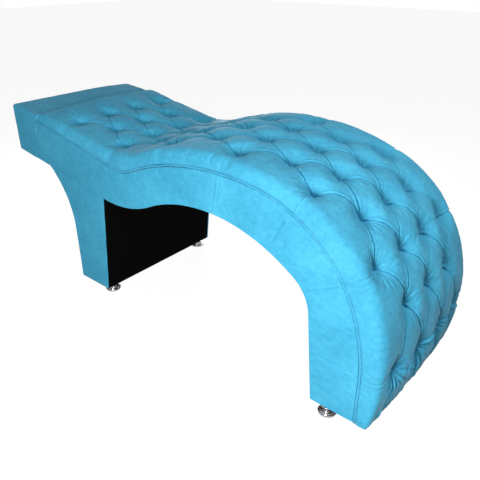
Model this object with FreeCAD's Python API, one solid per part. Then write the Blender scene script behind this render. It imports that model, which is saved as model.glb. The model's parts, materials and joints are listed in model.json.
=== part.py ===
import FreeCAD, Part
import os
from math import cos, radians, sin
from FreeCAD import Vector

# A treatment bed with a fixed wave shape. Millimetres: +X runs to the foot end, Y across, Z up.
# The floor is Z = 0. Left is +Y, as the client lies on the bed.

# Overall sizes
HALF_WIDTH = 300.0  # centre line to the outside of a side cover
BASE_Z = 30.0  # floor to the underside of the carcass
HEAD_X = -851.8  # head end of the carcass
PLY = 18.0
DECK = 6.0  # bent plywood under the pad
SIDE_COVER = 8.0  # fabric on thin foam
END_COVER = 6.0
LINING = 2.0
PANEL_OUT = HALF_WIDTH - SIDE_COVER  # outer face of a side panel
PANEL_IN = PANEL_OUT - PLY

# The rim is the line where the pad meets the side cover, drawn from the head end to the foot end
RIM_HEAD_Z = 696.4
BACK_SLOPE = 10.9  # degrees, falling from the head to the hips
BACK_RUN = 627.0
VALLEY_R = 156.0
RISE = 25.0  # degrees, climbing from the hips to the knees
HUMP_R = 945.0
HUMP_FALL = 7.85  # degrees below level where the knee bend starts
KNEE_R = 438.0
KNEE_TURN = 63.0
SHIN_R = 613.0
HEAD_STRIP = 166.0  # smooth head pad, measured along the rim
HEAD_SEAM = 141.0  # where the head pad's side ends

# The lower edge of the side panels, drawn the same way
EDGE_HEAD_Z = 529.0
EDGE_SLOPE = 8.98
EDGE_RUN = 550.75
ARCH_VALLEY_R = 412.0
ARCH_RISE = 26.39
ARCH_R = 591.5
ARCH_FALL = 34.56
ARCH_CORNER_R = 137.7
COLUMN_LEAN = 5.08  # degrees, the inner face of the foot end

# Head leg, a box as wide as the bed
LEG_BACK_X = -530.0  # face towards the head
LEG_STRAIGHT_TOP = 250.0  # where that face starts to flare
LEG_FLARE_R = 315.0
LEG_FLARE_TURN = 60.0
LEG_INNER_X = (-356.0, -314.0)  # inner face, at the floor end and at the top
LEG_TOP_Z = 447.0
BACK_COVER = 4.0
BACK_BOARD = 6.0
INNER_BOARD = 12.0
BASE_BOARD = 22.0

# The crown is the middle line of the tufted pad's top, drawn from just behind the head pad's edge
CROWN_X = -746.3
CROWN_Z = 718.0
CROWN_SLOPE = 9.28
CROWN_RUN = 435.0
DIP_R = 389.0
CROWN_RISE = 21.36
BACK_R = 939.0  # the long hump
CROWN_FALL = 19.23
BEND_R = 460.0  # over the foot end
BEND_TURN = 59.04
FRONT_R = 1024.0

# Pad section: shoulder, its rounding, and the notch that the piping lies in
SHOULDER_Y = 262.5
SHOULDER_R = 37.0
SHOULDER_DROP = 12.6  # from the crown to the shoulder
PAD_DEEP = 110.0  # more than the pad's thickness anywhere
PAD_OVER = 140.0
PIPING_R = 3.5
PIPING_Y = HALF_WIDTH - PIPING_R
PIPING_GAP = 0.1
NOTCH_Y = 291.6
NOTCH_D = (-1.0, 4.5)
HEM_R = 420.0  # the front curves in under the shins down to the hem
HEM_TOP_Z = 216.0
LIP_R = 22.0  # rounding of the pad's edge at the head pad
LIP_TOP = 46.0
HEAD_PAD = (14.0, 25.0)  # thickness at the head end and at the tufted pad
HEAD_PAD_FILLET = 11.0

# Diamond tufting: rows of four and three by turns
PIT_DEPTH = 34.0
PIT_R = (5.0, 30.0)  # at the floor and at the crown
TUFT_PITCH = 138.0  # across
ROW_PLACES = (  # along the pit floors
    226, 358, 493, 630, 767, 905, 1038, 1180, 1308, 1441, 1568, 1703, 1874,
)
TWINE_R = 1.5
TWINE_HOLE_R = 2.5
KNOT_R = 3.8
KNOT_H = 2.5
WASHER_R = 9.0
WASHER_H = 2.0
WASHER_GAP = 0.15  # a flat washer under a curved deck
TWINE_TAIL = 4.0

# Cross rails: the gaps between tuft rows that hold one, and their section
RAIL_GAPS = (0, 2, 4, 5, 7, 8, 10, 11)
RAIL_WIDE = 30.0
RAIL_DEEP = 50.0
MOUNT_RAIL_X = (-581.0, -401.0)
MOUNT_RAIL_WIDE = 60.0
MOUNT_RAIL_DEEP = 45.0

# Leg bolts and screw-in feet
BOLT_R = 4.0
BOLT_Y = 180.0
BOLT_HOLE_R = 4.2
BOLT_HEAD = (8.0, 5.0)
BOLT_SPARE = 12.0
NUT_FLATS = 13.0
NUT_H = 6.5
NUT_FLANGE = (9.0, 1.5)
FOOT_STOP = 0.4  # gap between foot and carcass when screwed home
FOOT_PLACES = {
    "leg_foot_inner": (-384.0, 254.0),
    "leg_foot_outer": (-490.0, 225.0),
    "end_foot": (677.0, 279.0),
}
STUD_R = 4.0
STUD_FIT = 0.05
STUD_SEAT_Z = 12.0
STUD_TOP_Z = 51.0
GLIDE_R = 26.0
GLIDE_H = 3.0
TEE_FLANGE = (11.0, 1.5)
TEE_BARREL = (5.2, 11.0)
FAR = 3000.0  # larger than the bed


# A track is a chain of straight runs and tangent arcs in the XZ plane
def point(x, z, y=0.0):
    return Vector(x, y, z)


def trace(x, z, heading, steps):
    spans = []
    for length, radius, turn in steps:
        a = radians(heading)
        along = Vector(cos(a), 0, sin(a))
        up = Vector(-sin(a), 0, cos(a))
        start = point(x, z)
        span = {"start": start, "along": along, "up": up, "heading": heading, "turn": turn}
        if radius is None:
            span["length"] = length
            end = start + along * length
        else:
            side = 1 if turn > 0 else -1
            span["radius"] = radius
            span["side"] = side
            span["centre"] = start + up * (radius * side)
            end = swing(span, 0.0, turn)
        spans.append(span)
        x, z = end.x, end.z
        heading += turn
    return spans


def swing(span, offset, turn):
    a = radians(span["heading"] + turn)
    up = Vector(-sin(a), 0, cos(a))
    return span["centre"] - up * (span["side"] * span["radius"] - offset)


def ends(span, offset):
    start = span["start"] + span["up"] * offset
    if "radius" in span:
        return start, swing(span, offset, span["turn"])
    return start, start + span["along"] * span["length"]


def edges(track, offset):
    made = []
    for span in track:
        start, end = ends(span, offset)
        if "radius" in span:
            made.append(Part.Arc(start, swing(span, offset, span["turn"] / 2), end).toShape())
        else:
            made.append(Part.LineSegment(start, end).toShape())
    return made


def station(track, offset, distance):
    # the point, heading and normal at a distance along the track moved by offset
    for span in track:
        if "radius" in span:
            length = radians(abs(span["turn"])) * (span["radius"] - span["side"] * offset)
        else:
            length = span["length"]
        if distance <= length or span is track[-1]:
            turn = span["turn"] * distance / length
            a = radians(span["heading"] + turn)
            along = Vector(cos(a), 0, sin(a))
            up = Vector(-sin(a), 0, cos(a))
            if "radius" in span:
                place = swing(span, offset, turn)
            else:
                place = span["start"] + span["up"] * offset + span["along"] * distance
            return place - up * offset, along, up
        distance -= length


def between(track_a, offset_a, track_b, offset_b):
    upper = edges(track_a, offset_a)
    lower = edges(track_b, offset_b)
    a0, a1 = ends(track_a[0], offset_a)[0], ends(track_a[-1], offset_a)[1]
    b0, b1 = ends(track_b[0], offset_b)[0], ends(track_b[-1], offset_b)[1]
    loop = upper + [Part.LineSegment(a1, b1).toShape()]
    loop += lower[::-1] + [Part.LineSegment(b0, a0).toShape()]
    return Part.Face(Part.Wire(Part.__sortEdges__(loop)))


def polygon(corners):
    return Part.Face(Part.makePolygon([*corners, corners[0]]))


def half_plane(place, along, up):
    # everything ahead of a line through place, seen along the given direction
    side = up * FAR
    return polygon([place + side, place - side, place - side + along * FAR, place + side + along * FAR])


def plate(face, y0, y1):
    moved = face.copy()
    moved.translate(Vector(0, y0, 0))
    solid = moved.extrude(Vector(0, y1 - y0, 0))
    return solid.Solids[0]


def pair(name, face, y0, y1):
    return {name + "_left": plate(face, y0, y1), name + "_right": plate(face, -y1, -y0)}


def sweep(track, section):
    # carries a section, drawn as (y, height) along the normal, down the whole track
    solids = []
    for span in track:
        face = section(lambda y, d: span["start"] + span["up"] * d + Vector(0, y, 0))
        if "radius" in span:
            axis = Vector(0, -span["side"], 0)
            solids.append(face.revolve(span["centre"], axis, abs(span["turn"])))
        else:
            solids.append(face.extrude(span["along"] * span["length"]))
    return solids[0].multiFuse(solids[1:]).removeSplitter().Solids[0]


# The two lines that shape the bed
def down_to(x, z, heading, steps, floor):
    last = trace(x, z, heading, steps)[-1]
    end = ends(last, 0.0)[1]
    final = heading + sum(turn for _, _, turn in steps)
    return [*steps, ((end.z - floor) / sin(radians(-final)), None, 0.0)]


RIM_STEPS = [
    (BACK_RUN, None, 0.0),
    (None, VALLEY_R, BACK_SLOPE + RISE),
    (None, HUMP_R, -(RISE + HUMP_FALL)),
    (None, KNEE_R, -KNEE_TURN),
    (None, SHIN_R, -(90.0 - HUMP_FALL - KNEE_TURN)),
]
EDGE_STEPS = [
    (EDGE_RUN, None, 0.0),
    (None, ARCH_VALLEY_R, EDGE_SLOPE + ARCH_RISE),
    (None, ARCH_R, -(ARCH_RISE + ARCH_FALL)),
    (None, ARCH_CORNER_R, -(90.0 - COLUMN_LEAN - ARCH_FALL)),
]
RIM_STEPS = down_to(HEAD_X, RIM_HEAD_Z, -BACK_SLOPE, RIM_STEPS, BASE_Z)
EDGE_STEPS = down_to(HEAD_X, EDGE_HEAD_Z, -EDGE_SLOPE, EDGE_STEPS, BASE_Z)
RIM = trace(HEAD_X, RIM_HEAD_Z, -BACK_SLOPE, RIM_STEPS)
EDGE = trace(HEAD_X, EDGE_HEAD_Z, -EDGE_SLOPE, EDGE_STEPS)
PAD_START = RIM[0]["start"] + RIM[0]["along"] * HEAD_STRIP
PAD_STEPS = [(BACK_RUN - HEAD_STRIP, None, 0.0), *RIM_STEPS[1:]]
PAD_TRACK = trace(PAD_START.x, PAD_START.z, -BACK_SLOPE, PAD_STEPS)
CROWN_STEPS = [
    (CROWN_RUN, None, 0.0),
    (None, DIP_R, CROWN_SLOPE + CROWN_RISE),
    (None, BACK_R, -(CROWN_RISE + CROWN_FALL)),
    (None, BEND_R, -BEND_TURN),
    (None, FRONT_R, -(90.0 - CROWN_FALL - BEND_TURN)),
]
CROWN_STEPS = down_to(CROWN_X, CROWN_Z, -CROWN_SLOPE, CROWN_STEPS, BASE_Z)
CROWN = trace(CROWN_X, CROWN_Z, -CROWN_SLOPE, CROWN_STEPS)
PAD_LINE = Part.Wire(edges(PAD_TRACK, 0.0))


def above(z):
    # what lies over a level and does not pass the head end of the carcass
    return polygon([point(HEAD_X, z), point(FAR, z), point(FAR, FAR), point(HEAD_X, FAR)])


def below(z):
    return polygon([point(-FAR, 0), point(FAR, 0), point(FAR, z), point(-FAR, z)])


# Tufts: each is a place on the deck, the deck's normal there and the height of the pit floor
def deck_frame(distance):
    crown, _, up = station(CROWN, -PIT_DEPTH, distance)
    floor = crown - up * PIT_DEPTH
    height, nearest, _ = PAD_LINE.distToShape(Part.Vertex(floor))
    place = nearest[0][0]
    return place, (floor - place) * (1 / height), height


def tufts():
    for row, distance in enumerate(ROW_PLACES):
        place, up, floor = deck_frame(distance)
        count = 4 if row % 2 == 0 else 3
        for i in range(count):
            yield place + Vector(0, (i - (count - 1) / 2) * TUFT_PITCH, 0), up, floor


def upright(place, up, profile):
    # a turned solid from (radius, height) corners, standing on place
    corners = [Vector(r, 0, h) for r, h in profile]
    solid = polygon(corners).revolve(Vector(), Vector(0, 0, 1), 360).Solids[0]
    solid.Placement = FreeCAD.Placement(place, FreeCAD.Rotation(Vector(0, 0, 1), up))
    return solid


def cylinder(place, up, radius, low, high):
    return Part.makeCylinder(radius, high - low, place + up * low, up)


# Carcass
def side_panels():
    outline = between(RIM, -DECK, EDGE, 0.0)
    panel = outline.common(above(BASE_Z + BASE_BOARD)).Faces[0]
    return outline, pair("side_panel", panel, PANEL_IN, PANEL_OUT)


def curved_deck():
    deck = plate(between(RIM, 0.0, RIM, -DECK).common(above(BASE_Z)).Faces[0], -PANEL_OUT, PANEL_OUT)
    holes = [cylinder(p, up, TWINE_HOLE_R, -2 * DECK, DECK) for p, up, _ in tufts()]
    return deck.cut(holes)


def cross_rails():
    made = {}
    for number, gap in enumerate(RAIL_GAPS, 1):
        place, up, _ = deck_frame((ROW_PLACES[gap] + ROW_PLACES[gap + 1]) / 2)
        along = Vector(up.z, 0, -up.x)
        top = place - up * DECK
        half = along * (RAIL_WIDE / 2)
        deep = up * RAIL_DEEP
        slab = polygon([top - half, top + half, top + half - deep, top - half - deep])
        under_deck = between(RIM, -DECK, EDGE, 0.0)
        made[f"cross_rail_{number}"] = plate(slab.common(under_deck).Faces[0], -PANEL_IN, PANEL_IN)
    return made


def end_boards(outline):
    inside = HEAD_X + PLY
    head = polygon([point(HEAD_X, 0), point(inside, 0), point(inside, FAR), point(HEAD_X, FAR)])
    foot = outline.common(above(BASE_Z)).common(below(BASE_Z + BASE_BOARD))
    base = plate(foot.Faces[0], -PANEL_OUT, PANEL_OUT)
    return {
        "head_end_board": plate(outline.common(head).Faces[0], -PANEL_IN, PANEL_IN),
        "foot_end_base_board": base.cut(foot_holes(("end_foot",))),
    }


# Head leg
def leg_line(offset):
    # inner face of the leg moved into the leg by offset
    low = point(LEG_INNER_X[0], BASE_Z)
    along = (point(LEG_INNER_X[1], LEG_TOP_Z) - low).normalize()
    inward = Vector(-along.z, 0, along.x)
    return low + inward * offset, along, inward


def leg_region(back, inner, top):
    # the leg's side outline, each edge moved in by its own amount
    flare = [(LEG_STRAIGHT_TOP - BASE_Z, None, 0.0), (None, LEG_FLARE_R, LEG_FLARE_TURN)]
    track = trace(LEG_BACK_X, BASE_Z, 90.0, flare)
    start, end = ends(track[0], -back)[0], ends(track[-1], -back)[1]
    loop = edges(track, -back)
    corners = [end, point(0, end.z), point(0, BASE_Z), start]
    loop += Part.makePolygon(corners).Edges
    face = Part.Face(Part.Wire(Part.__sortEdges__(loop)))
    low, along, inward = leg_line(inner)
    face = face.common(half_plane(low, inward, along))
    ceiling = EDGE[0]["start"] - EDGE[0]["up"] * top
    return face.common(half_plane(ceiling, EDGE[0]["up"] * -1, EDGE[0]["along"])).Faces[0]


def head_leg():
    back_skin = BACK_COVER + BACK_BOARD
    inner_skin = LINING + INNER_BOARD
    box = leg_region(back_skin, inner_skin, LINING)
    base_top = BASE_Z + BASE_BOARD
    made = pair("leg_side", box.common(above(base_top)).Faces[0], PANEL_IN, PANEL_OUT)
    made["leg_back_board"] = plate(
        leg_region(BACK_COVER, inner_skin, LINING).cut(box).Faces[0], -PANEL_OUT, PANEL_OUT
    )
    made["leg_inner_board"] = plate(
        leg_region(BACK_COVER, LINING, LINING).cut(leg_region(BACK_COVER, inner_skin, LINING)).Faces[0],
        -PANEL_OUT,
        PANEL_OUT,
    )
    base = plate(box.common(below(base_top)).Faces[0], -PANEL_OUT, PANEL_OUT)
    made["leg_base_board"] = base.cut(foot_holes(("leg_foot_inner", "leg_foot_outer")))
    lower = leg_region(back_skin, inner_skin, LINING + PLY)
    made["leg_top_board"] = plate(box.cut(lower).Faces[0], -PANEL_IN, PANEL_IN).cut(bolt_holes())
    return made


def leg_covers():
    outer = leg_region(0.0, 0.0, LINING)
    behind = leg_region(BACK_COVER, 0.0, LINING)
    inside = leg_region(BACK_COVER, LINING, LINING)
    made = pair("leg_cover", behind, PANEL_OUT, HALF_WIDTH)
    made["leg_back_cover"] = plate(outer.cut(behind).Faces[0], -HALF_WIDTH, HALF_WIDTH)
    made["leg_inner_lining"] = plate(behind.cut(inside).Faces[0], -PANEL_OUT, PANEL_OUT)
    return made


# The leg is bolted up into two rails on the lower edge of the carcass
def bolt_frames():
    along, up = EDGE[0]["along"], EDGE[0]["up"]
    for x in MOUNT_RAIL_X:
        middle = EDGE[0]["start"] + along * ((x - HEAD_X) / along.x)
        for y in (-BOLT_Y, BOLT_Y):
            yield middle + Vector(0, y, 0), up


def bolt_holes():
    return [cylinder(p, up, BOLT_HOLE_R, -2 * PLY - LINING, 2 * MOUNT_RAIL_DEEP) for p, up in bolt_frames()]


def mount_rails():
    made = {}
    along, up = EDGE[0]["along"], EDGE[0]["up"]
    for name, x in zip(("rear", "front"), MOUNT_RAIL_X):
        middle = EDGE[0]["start"] + along * ((x - HEAD_X) / along.x)
        half = along * (MOUNT_RAIL_WIDE / 2)
        tall = up * MOUNT_RAIL_DEEP
        slab = polygon([middle - half, middle + half, middle + half + tall, middle - half + tall])
        made[f"leg_mount_rail_{name}"] = plate(slab, -PANEL_IN, PANEL_IN).cut(bolt_holes())
    return made


def leg_bolts():
    head_r, head_h = BOLT_HEAD
    under = -(LINING + PLY)
    top = MOUNT_RAIL_DEEP + BOLT_SPARE
    low = under - head_h
    profile = [(0, low), (head_r, low), (head_r, under), (BOLT_R, under), (BOLT_R, top), (0, top)]
    return Part.makeCompound([upright(p, up, profile) for p, up in bolt_frames()])


def leg_bolt_nuts():
    flange_r, flange_h = NUT_FLANGE
    made = []
    for place, up in bolt_frames():
        corner_r = NUT_FLATS / 2 / cos(radians(30))
        turns = [radians(60 * i) for i in range(6)]
        corners = [Vector(corner_r * cos(a), corner_r * sin(a), 0) for a in turns]
        hexagon = polygon(corners).extrude(Vector(0, 0, NUT_H))
        bore = Part.makeCylinder(BOLT_R + STUD_FIT, NUT_H)
        nut = hexagon.fuse(Part.makeCylinder(flange_r, flange_h)).cut(bore)
        nut = nut.removeSplitter().Solids[0]
        nut.Placement = FreeCAD.Placement(
            place + up * MOUNT_RAIL_DEEP, FreeCAD.Rotation(Vector(0, 0, 1), up)
        )
        made.append(nut)
    return Part.makeCompound(made)


# Upholstery
def pad_section(at):
    # crowned top, rounded shoulders and straight walls, drawn down from the crown
    wall_y = SHOULDER_Y + SHOULDER_R
    wall_d = -SHOULDER_DROP - SHOULDER_R
    side = SHOULDER_Y + SHOULDER_R * cos(radians(45))
    rise = wall_d + SHOULDER_R * sin(radians(45))
    crown = Part.Arc(at(SHOULDER_Y, -SHOULDER_DROP), at(0, 0), at(-SHOULDER_Y, -SHOULDER_DROP)).toShape()
    left = Part.Arc(at(-SHOULDER_Y, -SHOULDER_DROP), at(-side, rise), at(-wall_y, wall_d)).toShape()
    corners = [at(-wall_y, wall_d), at(-wall_y, -PAD_DEEP), at(wall_y, -PAD_DEEP), at(wall_y, wall_d)]
    right = Part.Arc(at(wall_y, wall_d), at(side, rise), at(SHOULDER_Y, -SHOULDER_DROP)).toShape()
    return Part.Face(Part.Wire([crown, left, *Part.makePolygon(corners).Edges, right]))


def notch(side):
    # room for the piping along one lower edge of the pad
    low, high = NOTCH_D
    inner, outer = side * NOTCH_Y, side * (HALF_WIDTH + 1)
    corners = [(inner, low), (outer, low), (outer, high), (inner, high)]
    return sweep(PAD_TRACK, lambda at: polygon([at(y, d) for y, d in corners]))


def hem_corner():
    # what the curve above the hem takes away from the straight front
    front = ends(CROWN[-1], 0.0)[1].x
    back = front - HEM_R
    low, top = BASE_Z, HEM_TOP_Z
    corner = polygon([point(back, low), point(front, low), point(front, top), point(back, top)])
    block = plate(corner, -HALF_WIDTH, HALF_WIDTH)
    axis = Vector(0, 1, 0)
    round_part = Part.makeCylinder(HEM_R, 2 * HALF_WIDTH, point(back, top, -HALF_WIDTH), axis)
    return block.cut(round_part)


def lip_corner():
    # what the rounding at the head pad takes away
    along, up = PAD_TRACK[0]["along"], PAD_TRACK[0]["up"]
    low = PAD_START + up * (LIP_TOP - LIP_R)
    high = PAD_START + up * (LIP_TOP + LIP_R)
    block = plate(polygon([low, low + along * LIP_R, high + along * LIP_R, high]), -HALF_WIDTH, HALF_WIDTH)
    axis = Vector(0, 1, 0)
    start = low + along * LIP_R + Vector(0, -HALF_WIDTH, 0)
    return block.cut(Part.makeCylinder(LIP_R, 2 * HALF_WIDTH, start, axis))


def tufted_pad():
    room = plate(between(PAD_TRACK, PAD_OVER, PAD_TRACK, 0.0), -HALF_WIDTH, HALF_WIDTH)
    pad = sweep(CROWN, pad_section).common(room)
    pad = pad.cut([notch(1), notch(-1), hem_corner(), lip_corner()])
    slope = (PIT_R[1] - PIT_R[0]) / PIT_DEPTH
    over = PIT_DEPTH + 10.0
    pits = []
    for place, up, floor in tufts():
        pit = [
            (0, -1),
            (TWINE_HOLE_R, -1),
            (TWINE_HOLE_R, floor),
            (PIT_R[0], floor),
            (PIT_R[0] + slope * over, floor + over),
            (0, floor + over),
        ]
        pits.append(upright(place, up, pit))
    return pad.cut(pits).Solids[0]


def tufting():
    over = -DECK - WASHER_GAP
    under = over - WASHER_H
    low = under - TWINE_TAIL
    ring = [(TWINE_R, under), (WASHER_R, under), (WASHER_R, over), (TWINE_R, over)]
    twines = []
    for place, up, floor in tufts():
        top = floor + KNOT_H
        tie = [(0, low), (TWINE_R, low), (TWINE_R, floor), (KNOT_R, floor), (KNOT_R, top), (0, top)]
        twines.append(upright(place, up, tie))
    return {
        "tufting_twines": Part.makeCompound(twines),
        "twine_washers": Part.makeCompound([upright(p, up, ring) for p, up, _ in tufts()]),
    }


def piping():
    made = {}
    for name, side in (("piping_left", 1), ("piping_right", -1)):

        def section(at):
            low, high = at(side * PIPING_Y, -PIPING_R), at(side * PIPING_Y, PIPING_R)
            out, inn = at(side * (PIPING_Y + PIPING_R), 0), at(side * (PIPING_Y - PIPING_R), 0)
            halves = [Part.Arc(low, out, high).toShape(), Part.Arc(high, inn, low).toShape()]
            return Part.Face(Part.Wire(halves))

        made[name] = sweep(PAD_TRACK, section)
    return made


def seam_side(ahead):
    place = RIM[0]["start"] + RIM[0]["along"] * HEAD_SEAM
    return half_plane(place, RIM[0]["along"] * ahead, RIM[0]["up"])


def side_covers():
    band = between(RIM, -PIPING_R - PIPING_GAP, EDGE, -LINING).common(above(BASE_Z))
    return pair("side_cover", band.common(seam_side(1)).Faces[0], PANEL_OUT, HALF_WIDTH)


def head_pad():
    along, up = RIM[0]["along"], RIM[0]["up"]
    start = RIM[0]["start"]
    tip = start - along * (END_COVER / along.x)
    end = start + along * HEAD_STRIP
    tip_top, end_top = tip + Vector(0, 0, HEAD_PAD[0]), end + up * HEAD_PAD[1]
    top = plate(polygon([tip, end, end_top, tip_top]), -HALF_WIDTH, HALF_WIDTH)
    upper = max(top.Faces, key=lambda face: face.normalAt(0, 0).z)
    outer = [e for e in upper.Edges if abs(e.CenterOfMass.x - end_top.x) > 1.0]
    top = top.makeFillet(HEAD_PAD_FILLET, outer)
    band = between(RIM, 0.0, EDGE, -LINING).common(seam_side(-1)).Faces[0]
    low = EDGE[0]["start"].z - LINING
    wall = [point(HEAD_X - END_COVER, low), point(HEAD_X, low), start, tip]
    sides = pair("side", band, PANEL_OUT, HALF_WIDTH)
    end_wall = plate(polygon(wall), -HALF_WIDTH, HALF_WIDTH)
    return top.multiFuse([*sides.values(), end_wall]).removeSplitter().Solids[0]


def underside_lining():
    face = between(EDGE, 0.0, EDGE, -LINING).common(above(BASE_Z)).Faces[0]
    return plate(face, -PANEL_OUT, PANEL_OUT).cut(bolt_holes())


# Feet
def foot_frames(kinds):
    for kind in kinds:
        x, y = FOOT_PLACES[kind]
        yield kind + "_left", Vector(x, y, 0)
        yield kind + "_right", Vector(x, -y, 0)


def foot_holes(kinds):
    barrel_r, barrel_h = TEE_BARREL
    flange_r, flange_h = TEE_FLANGE
    low = BASE_Z + flange_h
    profile = [
        (0, BASE_Z),
        (flange_r, BASE_Z),
        (flange_r, low),
        (barrel_r, low),
        (barrel_r, low + barrel_h),
        (STUD_R + 1, low + barrel_h),
        (STUD_R + 1, BASE_Z + BASE_BOARD),
        (0, BASE_Z + BASE_BOARD),
    ]
    return [upright(p, Vector(0, 0, 1), profile) for _, p in foot_frames(kinds)]


def tee_nuts():
    barrel_r, barrel_h = TEE_BARREL
    flange_r, flange_h = TEE_FLANGE
    bore = STUD_R + STUD_FIT
    low = BASE_Z + flange_h
    profile = [
        (bore, BASE_Z),
        (flange_r, BASE_Z),
        (flange_r, low),
        (barrel_r, low),
        (barrel_r, low + barrel_h),
        (bore, low + barrel_h),
    ]
    return Part.makeCompound([upright(p, Vector(0, 0, 1), profile) for _, p in foot_frames(FOOT_PLACES)])


def feet():
    top = BASE_Z - FOOT_STOP
    turned = [
        (0, GLIDE_H),
        (GLIDE_R, GLIDE_H),
        (GLIDE_R, 1),
        (29, 1),
        (30, 2),
        (30, 7),
        (29, 8),
        (26.5, 8),
        (26, 7.2),
        (24.5, 7.2),
        (23, 10.5),
        (20, 10.5),
        (19.5, 9.7),
        (17.5, 9.7),
        (17, 12),
        (17, 23),
        (20, 24.5),
        (20, top - 1),
        (19, top),
        (STUD_R, top),
        (STUD_R, STUD_SEAT_Z),
        (0, STUD_SEAT_Z),
    ]
    made = {}
    for name, place in foot_frames(FOOT_PLACES):
        made[name] = upright(place, Vector(0, 0, 1), turned)
        made[name + "_stud"] = cylinder(place, Vector(0, 0, 1), STUD_R, STUD_SEAT_Z, STUD_TOP_Z)
        made[name + "_glide"] = cylinder(place, Vector(0, 0, 1), GLIDE_R, 0, GLIDE_H)
    return made


def build():
    outline, parts = side_panels()
    parts["curved_deck"] = curved_deck()
    parts.update(cross_rails())
    parts.update(end_boards(outline))
    parts.update(mount_rails())
    parts.update(head_leg())
    parts.update(leg_covers())
    parts["leg_bolts"] = leg_bolts()
    parts["leg_bolt_nuts"] = leg_bolt_nuts()
    parts["tufted_pad"] = tufted_pad()
    parts.update(tufting())
    parts.update(piping())
    parts.update(side_covers())
    parts["head_pad"] = head_pad()
    parts["underside_lining"] = underside_lining()
    parts["tee_nuts"] = tee_nuts()
    parts.update(feet())
    return parts


os.makedirs("parts", exist_ok=True)
box = FreeCAD.BoundBox()
for node, shape in build().items():
    shape.exportStep(f"parts/{node}.step")
    box.add(shape.optimalBoundingBox())
    state = "valid" if shape.isValid() else "NOT VALID"
    print(node, len(shape.Solids), state, round(shape.Volume / 1000), "cm3")
print("overall", box)
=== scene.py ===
import json
import math

import bmesh
import bpy
import numpy as np
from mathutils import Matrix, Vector


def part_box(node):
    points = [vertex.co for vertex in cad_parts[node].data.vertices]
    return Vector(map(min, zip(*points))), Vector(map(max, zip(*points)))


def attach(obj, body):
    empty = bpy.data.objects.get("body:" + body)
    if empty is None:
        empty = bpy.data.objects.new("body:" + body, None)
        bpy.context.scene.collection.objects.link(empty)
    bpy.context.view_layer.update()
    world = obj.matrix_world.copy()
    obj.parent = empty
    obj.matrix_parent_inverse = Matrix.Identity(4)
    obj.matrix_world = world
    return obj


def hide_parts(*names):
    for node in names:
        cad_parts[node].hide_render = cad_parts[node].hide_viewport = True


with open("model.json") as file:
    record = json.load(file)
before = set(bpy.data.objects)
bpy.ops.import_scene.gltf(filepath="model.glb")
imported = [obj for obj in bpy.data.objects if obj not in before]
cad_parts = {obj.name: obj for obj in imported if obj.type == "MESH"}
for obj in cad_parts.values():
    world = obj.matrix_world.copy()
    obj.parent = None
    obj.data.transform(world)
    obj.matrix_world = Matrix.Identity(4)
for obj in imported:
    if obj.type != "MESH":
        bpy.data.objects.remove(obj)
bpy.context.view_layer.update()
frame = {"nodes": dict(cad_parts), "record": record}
nodes = frame["nodes"]
scene = bpy.context.scene
mm = 0.001
rng = np.random.default_rng(11)
print("frame loaded,", len(nodes), "nodes")

# Lines of the bed seen from the side, in millimetres: straight runs (length, 0, 0),
# arcs (0, radius, turn) and runs down to a height (None, height, 0)
baseZ = 30.0
halfWidth = 300.0
bedLines = {
    "rim": {
        "start": (-851.8, 696.4), "heading": -10.9,
        "runs": [
            (627.0, 0, 0), (0, 156.0, 35.9), (0, 945.0, -32.85), (0, 438.0, -63.0), (0, 613.0, -19.15),
            (None, baseZ, 0),
        ],
    },
    "crown": {
        "start": (-746.3, 718.0), "heading": -9.28,
        "runs": [
            (435.0, 0, 0), (0, 389.0, 30.64), (0, 939.0, -40.59), (0, 460.0, -59.04), (0, 1024.0, -4.53),
            (0, 420.0, -32.31),
        ],
    },
    "edge": {
        "start": (-851.8, 529.0), "heading": -8.98,
        "runs": [
            (550.75, 0, 0), (0, 412.0, 35.37), (0, 591.5, -60.95), (0, 137.7, -50.36), (None, baseZ, 0),
        ],
    },
    "legBack": {"start": (-530.0, baseZ), "heading": 90.0, "runs": [(220.0, 0, 0), (0, 315.0, 53.0)]},
}


def runLength(place):
    return np.append(0, np.cumsum(np.linalg.norm(np.diff(place, axis=0), axis=1)))


def walkLine(name, pitch=1.5):
    line = bedLines[name]
    start, heading = np.array(line["start"]), math.radians(line["heading"])
    places, ups = [], []
    for length, radius, turn in line["runs"]:
        ahead = np.array([math.cos(heading), math.sin(heading)])
        up = np.array([-ahead[1], ahead[0]])
        if length is None:
            length, radius = (start[1] - radius) / -ahead[1], 0
        sweep = math.radians(turn)
        span = radius * abs(sweep) if radius else length
        share = np.linspace(0, 1, max(2, int(span / pitch)), endpoint=False)[:, None]
        if radius:
            side = math.copysign(1, turn)
            centre = start + up * radius * side
            angle = heading + sweep * np.append(share, 1.0)[:, None]
            turned = np.hstack([-np.sin(angle), np.cos(angle)])
            places.append(centre - turned[:-1] * radius * side)
            ups.append(turned[:-1])
            start, heading = centre - turned[-1] * radius * side, heading + sweep
        else:
            places.append(start + ahead * length * share)
            ups.append(np.repeat(up[None], len(share), 0))
            start = start + ahead * length
    places.append(start[None])
    ups.append(np.array([[-math.sin(heading), math.cos(heading)]]))
    place, up = np.vstack(places), np.vstack(ups)
    return {"place": place, "up": up, "run": runLength(place)}


def onLine(line, distance, lift=0.0):
    columns = [np.interp(distance, line["run"], line[key][:, i]) for key in ("place", "up") for i in (0, 1)]
    place, up = np.stack(columns[:2], -1), np.stack(columns[2:], -1)
    up /= np.linalg.norm(up, axis=-1, keepdims=True)
    return place + up * np.asarray(lift)[..., None], up


rim, crown, edge, legBack = (walkLine(name) for name in ("rim", "crown", "edge", "legBack"))


# Small helpers for shapes
def smoothStep(low, high, value):
    share = np.clip((value - low) / (high - low), 0, 1)
    return share * share * (3 - 2 * share)


def mound(value, height, width):
    return height * np.exp(-((value / width) ** 2))


def slope(gap, height, reach):
    return height * np.exp(-gap / reach)


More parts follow.
